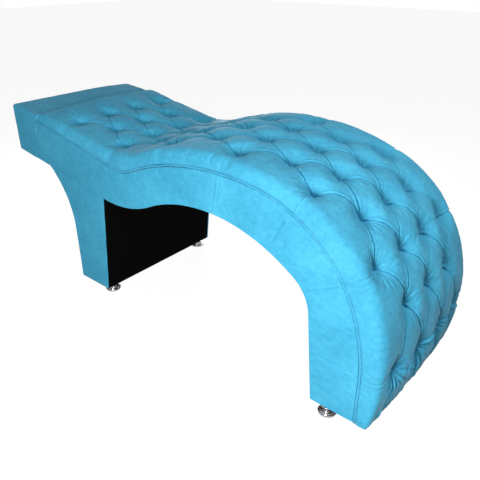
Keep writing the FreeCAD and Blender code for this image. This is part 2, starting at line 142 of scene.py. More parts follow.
def stepFold(signed, height, sharp, reach):
    # a soft step from one side of a crease to the other
    return slope(np.abs(signed), height, reach) * np.tanh(signed / sharp)


def rolledEdge(distance, depth, reach):
    # how far a cover turns in over its last few millimetres
    return depth * (1 - np.sqrt(1 - np.clip(1 - distance / reach, 0, 1) ** 2))


def ripple(a, b, height, waves, seed):
    # a soft uneven field, about as high and low as given, from a few slanted waves
    draw = np.random.default_rng(seed)
    total = 0.0
    for wave in waves:
        for _ in range(3):
            tilt, phase = draw.uniform(0, math.pi), draw.uniform(0, 2 * math.pi)
            total = total + np.sin((a * math.cos(tilt) + b * math.sin(tilt)) * 2 * math.pi / wave + phase)
    return height * (total / (3 * len(waves)) * 1.4)


# Small helpers for meshes
def gridMesh(cellsA, cellsB, place):
    # a grid whose vertex (i, j) goes to place[i, j], in millimetres
    bm = bmesh.new()
    bmesh.ops.create_grid(bm, x_segments=cellsA, y_segments=cellsB, size=0.5)
    for v in bm.verts:
        i, j = round((v.co.x + 0.5) * cellsA), round((v.co.y + 0.5) * cellsB)
        v.co = Vector(place[i, j]) * mm
    return bm


def spinProfile(bm, profile, steps, x=0.0, y=0.0):
    # a turned shape from (radius, height) pairs in millimetres, about an upright axis at x, y
    ring = [bm.verts.new((x + r * mm, y, h * mm)) for r, h in profile]
    wires = [bm.edges.new(pair) for pair in zip(ring, ring[1:])]
    bmesh.ops.spin(
        bm, geom=ring + wires, cent=(x, y, 0), axis=(0, 0, 1), angle=2 * math.pi, steps=steps, use_merge=True
    )


def closeHoles(bm):
    bmesh.ops.holes_fill(bm, edges=[e for e in bm.edges if e.is_boundary], sides=0)
    bmesh.ops.recalc_face_normals(bm, faces=bm.faces)


def faceOut(bm, outward):
    # turns an open shell so that the sum of outward(face) is positive
    bmesh.ops.recalc_face_normals(bm, faces=bm.faces)
    if sum(outward(f) for f in bm.faces) < 0:
        bmesh.ops.reverse_faces(bm, faces=bm.faces)


def linkMesh(name, bm):
    mesh = bpy.data.meshes.new(name)
    bm.to_mesh(mesh)
    bm.free()
    piece = bpy.data.objects.new(name, mesh)
    scene.collection.objects.link(piece)
    return piece


def addPiece(name, bm, slotName, replaced, body="bed"):
    piece = linkMesh(name, bm)
    piece.data.materials.append(slotMaterials[slotName])
    piece.data.shade_smooth()
    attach(piece, body)
    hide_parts(*replaced)
    return piece


def thicken(piece, thickness, offset=-1):
    wall = piece.modifiers.new("thickness", "SOLIDIFY")
    wall.thickness = thickness
    wall.offset = offset


# Materials
def newMaterial(name):
    material = bpy.data.materials.new(name)
    material.use_nodes = True
    tree = material.node_tree
    return material, tree, tree.nodes["Principled BSDF"]


def setSockets(node, values):
    for socket, value in values.items():
        node.inputs[socket].default_value = value


def addNoise(tree, scale, detail, roughness, distortion=0.0, stretch=None):
    coords = tree.nodes.new("ShaderNodeTexCoord").outputs["Object"]
    if stretch:
        mapping = tree.nodes.new("ShaderNodeMapping")
        mapping.inputs["Scale"].default_value = stretch
        tree.links.new(coords, mapping.inputs["Vector"])
        coords = mapping.outputs["Vector"]
    noise = tree.nodes.new("ShaderNodeTexNoise")
    setSockets(noise, {"Scale": scale, "Detail": detail, "Roughness": roughness, "Distortion": distortion})
    tree.links.new(coords, noise.inputs["Vector"])
    return noise.outputs["Fac"]


def addRamp(tree, value, stops):
    ramp = tree.nodes.new("ShaderNodeValToRGB")
    while len(ramp.color_ramp.elements) < len(stops):
        ramp.color_ramp.elements.new(0.5)
    for element, (position, colour) in zip(ramp.color_ramp.elements, stops):
        element.position = position
        element.color = (*colour, 1)
    tree.links.new(value, ramp.inputs["Fac"])
    return ramp.outputs["Color"]


def addMath(tree, operation, first, second):
    node = tree.nodes.new("ShaderNodeMath")
    node.operation = operation
    for socket, value in zip(node.inputs, (first, second)):
        if isinstance(value, (int, float)):
            socket.default_value = value
        else:
            tree.links.new(value, socket)
    return node.outputs["Value"]


def addMix(tree, layers):
    # layers of (value, weight) added up
    total = None
    for value, weight in layers:
        layer = addMath(tree, "MULTIPLY", value, weight)
        total = addMath(tree, "ADD", total, layer) if total else layer
    return total


def addRange(tree, value, low, high):
    spread = tree.nodes.new("ShaderNodeMapRange")
    setSockets(spread, {"To Min": low, "To Max": high})
    tree.links.new(value, spread.inputs["Value"])
    return spread.outputs["Result"]


def addBump(tree, shader, height, strength, distance):
    bump = tree.nodes.new("ShaderNodeBump")
    setSockets(bump, {"Strength": strength, "Distance": distance})
    tree.links.new(height, bump.inputs["Height"])
    tree.links.new(bump.outputs["Normal"], shader.inputs["Normal"])


# noise is scale, detail, roughness, distortion and stretch; bump is strength and distance
velvetLook = {
    "patches": (8.0, 3.0, 0.55, 0.4),
    "brushed": (55.0, 6.0, 0.72, 0.2, (1.0, 1.0, 1.4)),
    "pile": (520.0, 2.0, 0.5),
    "mix": (0.35, 0.50, 0.15),  # of patches, brushed and pile
    "shades": ((0.34, (0.032, 0.285, 0.460)), (0.50, (0.050, 0.370, 0.575)), (0.66, (0.074, 0.460, 0.680))),
    "nap": (0.6, 0.5),  # of brushed and pile, in the bump
    "bump": (0.35, 0.0012),
    "sockets": {
        "Roughness": 0.75, "Specular IOR Level": 0.25, "Sheen Weight": 0.15, "Sheen Roughness": 0.40,
        "Sheen Tint": (0.70, 0.86, 1.0, 1),
    },
}
clothLook = {
    "noise": (700.0, 2.0, 0.6, 0.0, (1.0, 1.0, 0.3)),
    "stops": (0.35, 0.7),
    "bump": (0.3, 0.0006),
    "sockets": {"Roughness": 0.92, "Specular IOR Level": 0.02},
}
plywoodLook = {
    "noise": (14.0, 6.0, 0.65, 0.8, (1.0, 9.0, 9.0)),
    "stops": (0.35, 0.65),
    "bump": (0.2, 0.0008),
    "sockets": {"Roughness": 0.62},
}
pineLook = {**plywoodLook, "noise": (14.0, 6.0, 0.65, 0.8, (9.0, 1.0, 9.0))}
plasticLook = {
    "noise": (300.0, 3.0, 0.6),
    "stops": (0.3, 0.7),
    "bump": (0.15, 0.0004),
    "sockets": {"Roughness": 0.55},
}
metalLook = {
    "noise": (4.0, 0.6),  # the scale differs from metal to metal
    "stops": (0.3, 0.7),
    "shades": (0.86, 1.0),
    "smear": (0.7, 1.4),  # how the roughness varies
    "bump": (0.05, 0.0004),
}


def makeVelvet(name, look):
    material, tree, shader = newMaterial(name)
    patches, brushed, pile = (addNoise(tree, *look[layer]) for layer in ("patches", "brushed", "pile"))
    mixed = addMix(tree, zip((patches, brushed, pile), look["mix"]))
    tree.links.new(addRamp(tree, mixed, look["shades"]), shader.inputs["Base Color"])
    setSockets(shader, look["sockets"])
    addBump(tree, shader, addMix(tree, zip((brushed, pile), look["nap"])), *look["bump"])
    return material


def makeGrain(name, look, dark, light):
    material, tree, shader = newMaterial(name)
    grain = addNoise(tree, *look["noise"])
    colour = addRamp(tree, grain, list(zip(look["stops"], (dark, light))))
    tree.links.new(colour, shader.inputs["Base Color"])
    setSockets(shader, look["sockets"])
    addBump(tree, shader, grain, *look["bump"])
    return material


def makeMetal(name, colour, roughness, streaks):
    material, tree, shader = newMaterial(name)
    wear = addNoise(tree, streaks, *metalLook["noise"])
    shades = [tuple(c * k for c in colour) for k in metalLook["shades"]]
    tree.links.new(addRamp(tree, wear, list(zip(metalLook["stops"], shades))), shader.inputs["Base Color"])
    smear = addRange(tree, wear, *(roughness * k for k in metalLook["smear"]))
    tree.links.new(smear, shader.inputs["Roughness"])
    shader.inputs["Metallic"].default_value = 1.0
    addBump(tree, shader, wear, *metalLook["bump"])
    return material


slotMaterials = {
    "velvet": makeVelvet("velvet", velvetLook),
    "black_lining": makeGrain("liningCloth", clothLook, (0.0015, 0.0015, 0.0015), (0.004, 0.004, 0.0042)),
    "plywood": makeGrain("plywood", plywoodLook, (0.42, 0.28, 0.15), (0.62, 0.45, 0.27)),
    "pine": makeGrain("pine", pineLook, (0.52, 0.34, 0.17), (0.70, 0.51, 0.29)),
    "zinc_steel": makeMetal("zinc", (0.60, 0.60, 0.62), 0.34, 140.0),
    "chrome": makeMetal("chrome", (0.42, 0.41, 0.43), 0.16, 60.0),
    "black_plastic": makeGrain("glidePlastic", plasticLook, (0.010, 0.010, 0.011), (0.030, 0.030, 0.032)),
    "twine": makeGrain("twineThread", clothLook, (0.008, 0.150, 0.260), (0.016, 0.230, 0.380)),
}
for entry in frame["record"]["subparts"]:
    cadMesh = nodes[entry["node"]].data
    cadMesh.materials.clear()
    cadMesh.materials.append(slotMaterials[entry["material_slot"]])
print("materials made")

# Tufted pad: a grid bent over the crown line, with a pit at each tuft
padSet = {
    "cells": (2.9, 1.9),  # grid spacing, plain and near the tufts
    "crowd": (24.0, 17.0),  # reach of the finer grid, along and across
    "topReach": 235.0,  # half width of the tufted part
    "sideCells": 24,  # from there down to the piping
    "startRun": 60.0,  # where the pad starts on the crown line
    "hemTop": 260.0,  # height where the front starts to curve in
    "frontRange": (120.0, 360.0),  # heights on the front between which it gets flatter across
    "dropRange": (150.0, 330.0),  # and between which the drop changes
    "wall": 299.5,
    "shoulderR": (37.0, 24.0, 6.0),  # on top, on the front and at the hem
    "shoulderDrop": (12.6, 21.0),  # on top and on the front
    "tuck": (9.0, 5.6, 5.2),  # where the wall turns in over the piping: height, inset and drop
    "deckEdge": (291.4, 0.5),
    "fullHeight": 49.6,
    "lip": (26.0, 36.0),  # drop and length of the rounding at the head pad
    "rows": (226, 358, 493, 630, 767, 905, 1038, 1180, 1308, 1441, 1568, 1703, 1874),
    "rowLevel": 34.0,  # the rows are measured this far under the crown
    "tuftPitch": 138.0,
    "kneeRows": (5, 8),  # the tufts change between these rows
    "pitReach": ((59.0, 66.0), (33.0, 50.0), (43.0, 62.0)),  # to the head, the foot end, sideways: top, knees
    "coreReach": ((15.0, 26.0), (7.0, 7.0), (11.0, 5.0)),
    "coneDepth": (22.0, 30.0),
    "coreDepth": (17.0, 13.0),
    "rimFade": (3.0, 15.0),
    "headFade": (-2.0, 16.0),
    "hemFade": (0.35, 0.65, 20.0),  # what is left at the hem, the rest, and its reach
}


def spacedLine(start, end, places, reach):
    # stations that crowd together near the given places
    plain, fine = padSet["cells"]
    dense = np.linspace(start, end, 6000)
    weight = np.full(dense.shape, 1 / plain)
    for place in places:
        crowding = np.exp(-(((dense - place) / reach) ** 4))
        weight = np.maximum(weight, 1 / plain + (1 / fine - 1 / plain) * crowding)
    count = np.append(0, np.cumsum((weight[1:] + weight[:-1]) / 2 * np.diff(dense)))
    return np.interp(np.linspace(0, count[-1], int(count[-1]) + 1), count, dense)


def padFrames(s):
    # for each place along the crown: the rim point under it, the way up, the pad's height there
    # and how far it is into the hem, the flat front and the dropped shoulder
    top, up = onLine(crown, s)
    feet = np.zeros_like(top)
    for i, (place, normal) in enumerate(zip(top, up)):
        away = rim["place"] - place
        across = away[:, 0] * normal[1] - away[:, 1] * normal[0]
        below = -(away @ normal)
        hit = np.where((across[:-1] * across[1:] <= 0) & (below[:-1] > 0) & (below[:-1] < 130))[0]
        if len(hit):
            k = hit[np.argmin(below[hit])]
            share = across[k] / (across[k] - across[k + 1] + 1e-12)
            feet[i] = rim["place"][k] + (rim["place"][k + 1] - rim["place"][k]) * share
    inHem = top[:, 1] < padSet["hemTop"]
    first = np.argmax(inHem)
    hem = np.zeros(len(s))
    hem[inHem] = (s[inHem] - s[first]) / (s[-1] - s[first])
    hemZ = feet[first, 1] + (baseZ - feet[first, 1]) * hem[inHem]
    feet[inHem, 0] = np.interp(hemZ, rim["place"][::-1, 1], rim["place"][::-1, 0])
    feet[inHem, 1] = hemZ
    rise = top - feet
    height = np.linalg.norm(rise, axis=1)
    front, fall = (1 - smoothStep(*padSet[name], top[:, 1]) for name in ("frontRange", "dropRange"))
    return feet, rise / height[:, None], height, hem, front, fall


def padSection(height, hem, front, fall):
    # half of a cross section, from the middle over the shoulder to the deck: places, normals, lengths
    share = min(1.0, height / padSet["fullHeight"])
    wall = padSet["wall"]
    onTop, onFront, atHem = padSet["shoulderR"]
    radius = (onTop + (onFront - onTop) * front) * share
    radius += (atHem - radius) * hem**1.5
    topDrop, frontDrop = padSet["shoulderDrop"]
    drop = (topDrop + (frontDrop - topDrop) * fall) * share
    drop *= 1 - hem**3
    lean = math.atan(2 * drop / wall)
    edgeY = wall - radius * (1 - math.sin(lean))
    y = np.linspace(0, edgeY, 120)
    top = np.stack([y, height - drop * (y / edgeY) ** 2], -1)
    angle = np.linspace(lean, math.pi / 2, 30)[1:]
    centre = (wall - radius, height - drop - radius * math.cos(lean))
    turn = np.stack([centre[0] + radius * np.sin(angle), centre[1] + radius * np.cos(angle)], -1)
    tuckTop, tuckIn, tuckDown = padSet["tuck"]
    tuck = np.linspace(0, math.pi / 2, 8)
    bottom = np.stack([wall - tuckIn * (1 - np.cos(tuck)), tuckTop - tuckDown * np.sin(tuck)], -1)
    keep = turn[:, 1] > tuckTop
    if keep.all():
        wallZ = np.linspace(turn[-1][1], tuckTop, 12)[1:-1]
        turn = np.vstack([turn, np.stack([np.full(len(wallZ), wall), wallZ], -1)])
    else:
        turn = turn[keep]
        bottom[:, 0] += turn[-1][0] - wall
    line = np.vstack([top, turn, bottom, [padSet["deckEdge"]]])
    ahead = np.gradient(line, axis=0)
    ahead /= np.linalg.norm(ahead, axis=1)[:, None]
    return line, np.stack([-ahead[:, 1], ahead[:, 0]], -1), runLength(line)


def tuftPlaces():
    lowRun = runLength(crown["place"] - crown["up"] * padSet["rowLevel"])
    rows = []
    for row, station in enumerate(padSet["rows"]):
        count = 4 if row % 2 == 0 else 3
        along = np.interp(station, lowRun, crown["run"])
        rows.append([(along, (i - (count - 1) / 2) * padSet["tuftPitch"]) for i in range(count)])
    return rows


def kneeShare(rows, s):
    first, last = padSet["kneeRows"]
    return smoothStep(rows[first][0][0], rows[last][0][0], s)


def byKnee(knee, *pairs):
    # values that go from the first of each pair on top to the second at the knees
    return [onTop + (onKnee - onTop) * knee for onTop, onKnee in pairs]


def pitShape(s, q, rows):
    # depth of the wide part and of the narrow middle of every pit
    knee = kneeShare(rows, s)
    draw = np.random.default_rng(3)
    cone, core = np.zeros(s.shape), np.zeros(s.shape)
    upReach, downReach, sideReach = byKnee(knee, *padSet["pitReach"])
    coreUp, coreDown, coreSide = byKnee(knee, *padSet["coreReach"])
    coneDepth, coreDepth = byKnee(knee, padSet["coneDepth"], padSet["coreDepth"])
    for tuft in (t for row in rows for t in row):
        ds, dq = s - tuft[0], q - tuft[1]
        size = draw.uniform(0.9, 1.1)
        r = np.hypot(ds / np.where(ds < 0, upReach, downReach), dq / sideReach) / size
        cone = np.maximum(cone, np.clip(1 - r, 0, 1) ** (1.5 + 0.2 * knee))
        r = np.hypot(ds / np.where(ds < 0, coreUp, coreDown), dq / coreSide)
        core = np.maximum(core, np.exp(-r))
    return coneDepth * cone, coreDepth * core


# Pleats of the tufted pad, which run out from the tufts and up from the hem
toHead = math.pi + 0.33 * np.arange(-3, 4)
raySet = {
    "width": (1.6, 0.055),  # at the tuft, and how fast it grows
    "rise": (4.0, 14.0),
    "fadeFrom": 0.45,  # share of the length
    "trough": (0.8, 1.9),  # depth beside the ridge, and its place in widths
    # rows, angles, turn, length, extra length, height and bend; a pair is drawn from
    "fans": (
        (range(0, 5), toHead, 0.09, (38, 66), 0, (1.92, 4.48), 0.15),
        (range(5, 7), toHead, 0.09, (38, 66), 0, (1.2, 2.8), 0.15),
        (range(7, 13), toHead, 0.09, (38, 66), (0, 26), (1.2, 2.8), 0.15),
        (range(0, 13), np.linspace(-2.2, 2.2, 7), 0.22, (24, 48), 0, (0.9, 1.9), 0.2),
        (range(0, 1), (math.pi - 0.45, math.pi, math.pi + 0.4), 0, (75, 110), 0, 1.4, 0.1),
        (range(8, 13), (-0.5, -0.1, 0.3), 0.15, (50, 90), 0, (0.9, 1.6), 0.2),
        (range(12, 13), np.linspace(-1.5, 1.5, 11), 0.1, (70, 140), 0, (2.4, 4.0), 0.2),
    ),
    "hem": (math.pi, 0.2, (60, 125), 0, (1.6, 3.0), 0.15),
    "hemPlaces": np.arange(-262, 263, 17.5),
}


def drawn(value):
    return rng.uniform(*value) if isinstance(value, tuple) else value


def addRay(field, s, q, tuft, angle, turn, length, more, height, bend):
    # one small pleat that runs out from a tuft
    angle = angle + drawn((-turn, turn)) if turn else angle
    length = drawn(length) + drawn(more)
    height, bend = drawn(height), drawn((-bend, bend))
    margin = length + 8
    near = np.where((np.abs(s - tuft[0]) < margin) & (np.abs(q - tuft[1]) < margin))
    ds, dq = s[near] - tuft[0], q[near] - tuft[1]
    along = ds * math.cos(angle) + dq * math.sin(angle)
    ahead = np.clip(along, 0, None)
    side = dq * math.cos(angle) - ds * math.sin(angle) - bend * ahead**2 / length
    narrow, growth = raySet["width"]
    wide = narrow + growth * ahead
    window = smoothStep(*raySet["rise"], along) * (1 - smoothStep(raySet["fadeFrom"] * length, length, along))
    deep, beside = raySet["trough"]
    field[near] += height * window * (mound(side, 1, wide) - mound(side - beside * wide, deep, wide))


def addRays(field, s, q, rows, ends):
    for number, row in enumerate(rows):
        for tuft in row:
            for fanRows, angles, *look in raySet["fans"]:
                if number in fanRows:
                    for angle in angles:
                        addRay(field, s, q, tuft, angle, *look)
    for across in raySet["hemPlaces"]:
        addRay(field, s, q, (ends[1] + 12, across + drawn((-5, 5))), *raySet["hem"])


# Creases of the tufted pad, from tuft to tuft and out to its edges
creaseSet = {
    "pairReach": 0.6,  # tufts of neighbouring rows are joined within this share of the pitch
    "bow": 0.6,
    "depth": (0.7, 0.8),  # in the middle, and how much more at the tufts
    "scatter": (0.8, 1.2),
    "fade": (0.16, 0.10),  # shares of the way at its upper and lower end
    "kneeMore": 0.5,
    "groove": (3.6, 2.5),  # depth and width
    "valley": (1.9, 9.0),
    "ridges": ((5.3, (2.3, 2.6)), (-6.0, (0.8, 3.2))),  # place beside the groove, height and width
    "edgeDepth": (3.2, 2.4),  # at the edge, and how much more at the tuft
    "headShare": 0.35,  # those to the head pad are shallow
    "edgeGroove": (1.1, 2.4),
    "edgeValley": (0.2, 13.0),
    "edgeRidge": (5.0, (0.6, 3.5)),
    "bulge": (2.6, 36.0),  # height between the creases and reach
    "waves": ((0.8, (170, 95, 52), 5), (0.3, (24, 15), 6)),  # height, wave lengths and seed
}


def lineGap(s, q, a, b):
    # distance to the line from a to b, the same with its sign, and the share of the way along
    run = (b[0] - a[0], b[1] - a[1])
    share = np.clip(((s - a[0]) * run[0] + (q - a[1]) * run[1]) / (run[0] ** 2 + run[1] ** 2), 0, 1)
    offS, offQ = s - a[0] - share * run[0], q - a[1] - share * run[1]
    gap = np.hypot(offS, offQ)
    return gap, gap * np.sign(run[0] * offQ - run[1] * offS), share


def creaseGap(s, q, a, b):
    # the same for a crease that leaves a sideways and comes to b along the pad
    bow, t = creaseSet["bow"], np.linspace(0, 1, 13)
    pathS = a[0] + (b[0] - a[0]) * ((1 - bow) * t + bow * (1 - np.cos(t * math.pi / 2)))
    pathQ = a[1] + (b[1] - a[1]) * ((1 - bow) * t + bow * np.sin(t * math.pi / 2))
    best = None
    for k in range(len(t) - 1):
        gap, signed, share = lineGap(s, q, (pathS[k], pathQ[k]), (pathS[k + 1], pathQ[k + 1]))
        found = (gap, signed, t[k] + (t[k + 1] - t[k]) * share)
        if best is None:
            best = found
        else:
            closer = gap < best[0]
            best = [np.where(closer, new, old) for new, old in zip(found, best)]
    return best


def addCrease(field, nearest, s, q, knee, a, b):
    # one crease from tuft a to tuft b of the next row
    margin = 70
    lowQ, highQ = min(a[1], b[1]) - margin, max(a[1], b[1]) + margin
    near = np.where((s > a[0] - margin) & (s < b[0] + margin) & (q > lowQ) & (q < highQ))
    gap, signed, share = creaseGap(s[near], q[near], a, b)
    nearest[near] = np.minimum(nearest[near], gap)
    shallow, more = creaseSet["depth"]
    deep = (shallow + more * np.abs(2 * share - 1) ** 2) * rng.uniform(*creaseSet["scatter"])
    for end, way in zip(creaseSet["fade"], (share, 1 - share)):
        deep = deep * smoothStep(0.0, end, way)
    lean = math.copysign(1, b[1] - a[1])
    fold = -mound(signed, *creaseSet["groove"]) - slope(gap, *creaseSet["valley"])
    fold += sum(mound(signed - place * lean, *size) for place, size in creaseSet["ridges"])
    field[near] += deep * fold * (1 + creaseSet["kneeMore"] * knee[near])


def edgeCreases(rows, ends):
    # lines from the outer tufts to the sides, the head pad and the hem
    lines = [(t, (t[0], math.copysign(330, t[1]))) for row in rows[::2] for t in (row[0], row[-1])]
    lines += [(t, (ends[0] - 20, t[1])) for t in rows[0]]
    return lines + [(t, (ends[1] + 20, t[1] * 1.05)) for t in rows[-1]]


def tuftField(s, q, rows, ends):
    # how far the cover stands over the plain pad, in millimetres, at places s along and q across
    nearest, field, knee = np.full(s.shape, 1e3), np.zeros(s.shape), kneeShare(rows, s)
    for upper, lower in zip(rows, rows[1:]):
        for a in upper:
            for b in lower:
                if abs(a[1] - b[1]) < padSet["tuftPitch"] * creaseSet["pairReach"]:
                    addCrease(field, nearest, s, q, knee, a, b)
    shallow, more = creaseSet["edgeDepth"]
    ridgePlace, ridgeSize = creaseSet["edgeRidge"]
    for a, b in edgeCreases(rows, ends):
        gap, signed, share = lineGap(s, q, a, b)
        nearest = np.minimum(nearest, gap + 20 * smoothStep(0, 0.6, share))
        deep = (shallow + more * (1 - share) ** 3) * smoothStep(0.0, 0.10, share)
        deep = deep * (creaseSet["headShare"] if b[0] < ends[0] else 1.0)
        fold = -slope(gap, *creaseSet["edgeGroove"]) - mound(gap, *creaseSet["edgeValley"])
        field += deep * (fold + mound(signed - ridgePlace, *ridgeSize))
    bulge, bulgeReach = creaseSet["bulge"]
    field += bulge * (1 - mound(nearest, 1, bulgeReach))
    cone, core = pitShape(s, q, rows)
    field -= cone + core
    addRays(field, s, q, rows, ends)
    for waves in creaseSet["waves"]:
        field = field + ripple(s, q, *waves)
    return field


# Cover of the tufted pad as cloth: laid out flat, tied at the tufts and along its edges, blown up a little
coverSet = {
    "cell": 6.5,
    "half": 305.0,
    "tieR": 9.0,
    "fabric": {
        "quality": 6, "mass": 0.12, "tension_stiffness": 12.0, "compression_stiffness": 12.0,
        "shear_stiffness": 4.0, "bending_stiffness": 0.25, "use_pressure": True, "uniform_pressure_force": 4.0,
        "shrink_min": -0.014,  # the cover is a little larger than the pad
    },
    "frames": 20,
    "cap": 4.5,
    "pitReach": (16.0, 62.0),  # the swelling fades out towards a tuft
}


def swellCover(rows, ends):
    half, size = coverSet["half"], coverSet["cell"]
    span = ends[1] - ends[0]
    cells = int(span / size), int(2 * half / size)
    alongs, acrosses = np.linspace(*ends, cells[0] + 1), np.linspace(-half, half, cells[1] + 1)
    s, q = np.meshgrid(alongs, acrosses, indexing="ij")
    flat = np.stack([s, q, -pitShape(s, q, rows)[0]], -1)
    sheet = linkMesh("cover", gridMesh(*cells, flat))
    mesh = sheet.data
    before = np.array([v.co for v in mesh.vertices]) / mm
    steps = span / cells[0], 2 * half / cells[1]
    index = np.rint((before[:, :2] - (ends[0], -half)) / steps).astype(int)
    tied = (index == 0).any(1) | (index == cells).any(1)
    for tuft in (t for row in rows for t in row):
        tied |= np.hypot(before[:, 0] - tuft[0], before[:, 1] - tuft[1]) < coverSet["tieR"]
    group = sheet.vertex_groups.new(name="tied")
    group.add([int(k) for k in np.where(tied)[0]], 1.0, "REPLACE")
    cloth = sheet.modifiers.new("cloth", "CLOTH")
    for name, value in coverSet["fabric"].items():
        setattr(cloth.settings, name, value)
    cloth.settings.vertex_group_mass = group.name
    cloth.settings.effector_weights.gravity = 0.0
    cloth.point_cache.frame_end = coverSet["frames"]
    for number in range(1, coverSet["frames"] + 1):
        scene.frame_set(number)
    after = sheet.evaluated_get(bpy.context.evaluated_depsgraph_get()).to_mesh()
    lift = np.zeros((cells[0] + 1, cells[1] + 1))
    lift[index[:, 0], index[:, 1]] = np.array([v.co.z for v in after.vertices]) / mm - before[:, 2]
    scene.frame_set(1)
    bpy.data.objects.remove(sheet)
    bpy.data.meshes.remove(mesh)
    low, high, mean = (round(float(value), 1) for value in (lift.min(), lift.max(), lift.mean()))
    print("cover swelled by", low, "to", high, "mm, mean", mean)
    return lift


def liftAt(lift, ends, s, q):
    # the swelling at any place of the cover
    half = coverSet["half"]
    a = np.clip((s - ends[0]) / (ends[1] - ends[0]), 0, 1) * (lift.shape[0] - 1)
    b = np.clip((q + half) / (2 * half), 0, 1) * (lift.shape[1] - 1)
    i, j = np.minimum(a.astype(int), lift.shape[0] - 2), np.minimum(b.astype(int), lift.shape[1] - 2)
    u, v = a - i, b - j
    near = lift[i, j] * (1 - v) + lift[i, j + 1] * v
    far = lift[i + 1, j] * (1 - v) + lift[i + 1, j + 1] * v
    return near * (1 - u) + far * u


def makePad():
    rows = tuftPlaces()
    crowdAlong, crowdAcross = padSet["crowd"]
    s = spacedLine(padSet["startRun"], crown["run"][-1], [row[0][0] for row in rows], crowdAlong)
    ends = (s[0], s[-1])
    half = padSet["tuftPitch"] / 2
    reachTop = spacedLine(0.0, padSet["topReach"], [k * half for k in range(4)], crowdAcross)
    cells, top, side = len(s) - 1, len(reachTop) - 1, padSet["sideCells"]
    feet, rise, height, hem, front, fall = padFrames(s)
    height = height - rolledEdge(s - s[0], *padSet["lip"])
    middle = top + side
    y, h, ny, nh, q, toRim = (np.zeros((cells + 1, 2 * middle + 1)) for _ in range(6))
    for i in range(cells + 1):
        line, normal, run = padSection(height[i], hem[i], front[i], fall[i])
        reach = np.append(reachTop, np.linspace(padSet["topReach"], run[-1], side + 1)[1:])
        columns = (line[:, 0], line[:, 1], normal[:, 0], normal[:, 1], run, run[-1] - run)
        for target, column, mirror in zip((y, h, ny, nh, q, toRim), columns, (-1, 1, -1, 1, -1, 1)):
            value = np.interp(reach, run, column)
            target[i, middle:] = value
            target[i, :middle] = value[:0:-1] * mirror
    along = np.repeat(s[:, None], 2 * middle + 1, 1)
    field = tuftField(along, q, rows, ends)
    lift = swellCover(rows, ends)
    toTuft = np.min([np.hypot(along - t[0], q - t[1]) for row in rows for t in row], axis=0)
    swell = coverSet["cap"] * np.tanh(liftAt(lift, ends, along, q) / coverSet["cap"])
    field += swell * smoothStep(*coverSet["pitReach"], toTuft)
    field *= smoothStep(*padSet["rimFade"], toRim) * smoothStep(*padSet["headFade"], along - s[0])
    hemLeft, hemRest, hemReach = padSet["hemFade"]
    field *= hemLeft + hemRest * smoothStep(0, hemReach, s[-1] - along)
    h = h + field * nh
    y = y + field * ny
    place = np.stack([feet[:, None, 0] + rise[:, None, 0] * h, y, feet[:, None, 1] + rise[:, None, 1] * h], -1)
    bm = gridMesh(cells, 2 * middle, place)
    deckY = padSet["deckEdge"][0] * mm
    sides = {-1: [], 1: []}
    for e in bm.edges:
        first, second = (v.co.y for v in e.verts)
        if e.is_boundary and abs(first - second) < 0.00005 and abs(abs(first) - deckY) < 0.0002:
            sides[1 if first > 0 else -1].append(e)
    bmesh.ops.bridge_loops(bm, edges=sides[1] + sides[-1])
    closeHoles(bm)
    for f in bm.faces:
        if len(f.verts) > 4:
            for e in f.edges:
                e.smooth = False
    piece = addPiece("tuftedPad", bm, "velvet", ["tufted_pad"])
    floors = []
    for tuft in (t for row in rows for t in row):
        i = np.argmin(np.abs(s - tuft[0]))
        j = np.argmin(np.abs(q[i] - tuft[1]))
        floors.append((tuft[0], place[i, j]))
    return piece, floors


tuftedPad, pitFloors = makePad()
print("tufted pad made:", len(tuftedPad.data.polygons), "faces,", len(pitFloors), "tufts")

# Tufting ties: a knot in each pit and its thread down through the deck
tieSet = {
    "knot": ((0.1, 1.6), (1.6, 1.3), (2.2, 0.2), (1.7, -1.0), (1.0, -1.8)),  # radius and height
    "threadR": 1.0,
    "below": 12.0,
    "steps": 8,
}


def makeTies():
    bm = bmesh.new()
    for along, floor in pitFloors:
        start = Vector(floor) * mm
        low = onLine(crown, np.array([along]), -padSet["rowLevel"])[0][0]
        k = np.argmin(np.linalg.norm(rim["place"] - low, axis=1))
        under = rim["place"][k] - rim["up"][k] * tieSet["below"]
        end = Vector((under[0], floor[1], under[1])) * mm
        length = (end - start).length / mm
        turn = (start - end).to_track_quat("Z", "Y").to_matrix().to_4x4()
        turn.translation = start
        profile = [*tieSet["knot"], (tieSet["threadR"], 3 - length), (0.1, -length)]
        before = len(bm.verts)
        spinProfile(bm, [(r, h + 0.6) for r, h in profile], tieSet["steps"])
        bmesh.ops.transform(bm, matrix=turn, verts=list(bm.verts)[before:])
    closeHoles(bm)
    addPiece("tuftTies", bm, "twine", ["tufting_twines"])


makeTies()
print("ties made")

# Side covers: velvet bands between the piping and the lower edge
sideSet = {
    "cells": (800, 54),
    "rimStops": (163.5, 330.0, 640.0, 760.0, 1240.0, 1560.0, 1760.0),
    "edgeStops": (116.7, 300.0, 575.0, 720.0, 1060.0, 1290.0, 1400.0),
    "under": 1.2,
    "thick": 0.006,
    "roll": (3.4, 3.4),  # depth and reach
    "puff": 0.8,
    "waves": (0.45, (230, 130, 75), 21),  # height, wave lengths and seed
    "creases": (  # from the piping downwards, with depth in millimetres
        ((-275, 569), (-268, 514), 3.0), ((-2, 626), (9, 594), 2.6), ((250, 654), (231, 548), 3.0),
        ((268, 650), (247, 560), 2.4), ((500, 600), (458, 514), 4.2), ((688, 461), (590, 404), -5.4),
        ((753, 203), (625, 206), -5.4),  # a minus turns the step round
    ),
    "creaseStep": (0.5, 1.5, 13),  # height, sharpness and reach
    "creaseGroove": (1.1, 2.9),
}


